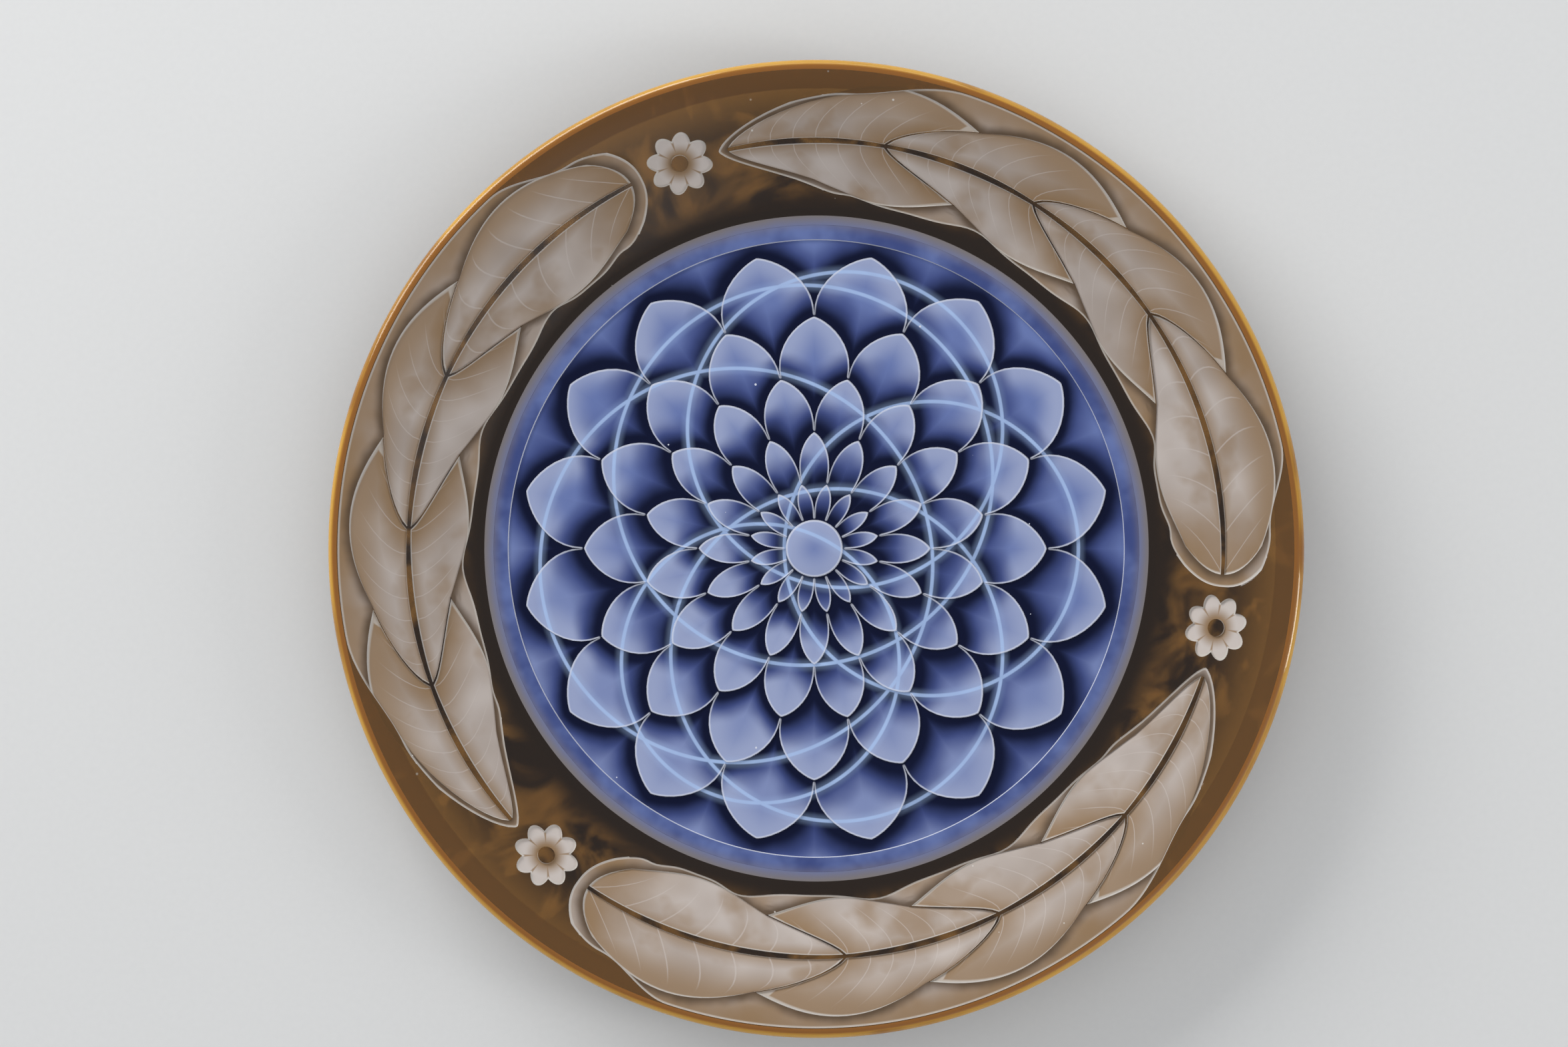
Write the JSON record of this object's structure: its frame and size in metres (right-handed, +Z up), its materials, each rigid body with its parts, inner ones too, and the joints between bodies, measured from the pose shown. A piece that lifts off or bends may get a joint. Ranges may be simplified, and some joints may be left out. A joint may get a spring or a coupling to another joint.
{
  "type": "glass charger plate",
  "caption": "Large shallow glass charger with a clear body, a carved amber casing on its wide rim and a carved blue casing in its well.",
  "frame": {"origin": "on the plate's axis, in the plane of the foot ring that it rests on", "axes": "+Z up along the plate's axis, out of the open face; +Y towards the top of the plate when it is stood up for display; +X to the right"},
  "size_m": [0.45, 0.45, 0.0372],
  "materials": {
    "clear_glass": "fire polished, with a ground foot",
    "amber_glass": "polished, with carved areas blasted to a satin frost",
    "blue_glass": "blasted to a satin frost, with polished edges left between the cuts"
  },
  "bodies": {
    "root": {"clear_body": "clear_glass", "amber_rim_casing": "amber_glass", "blue_well_casing": "blue_glass"}
  },
  "joints": []
}
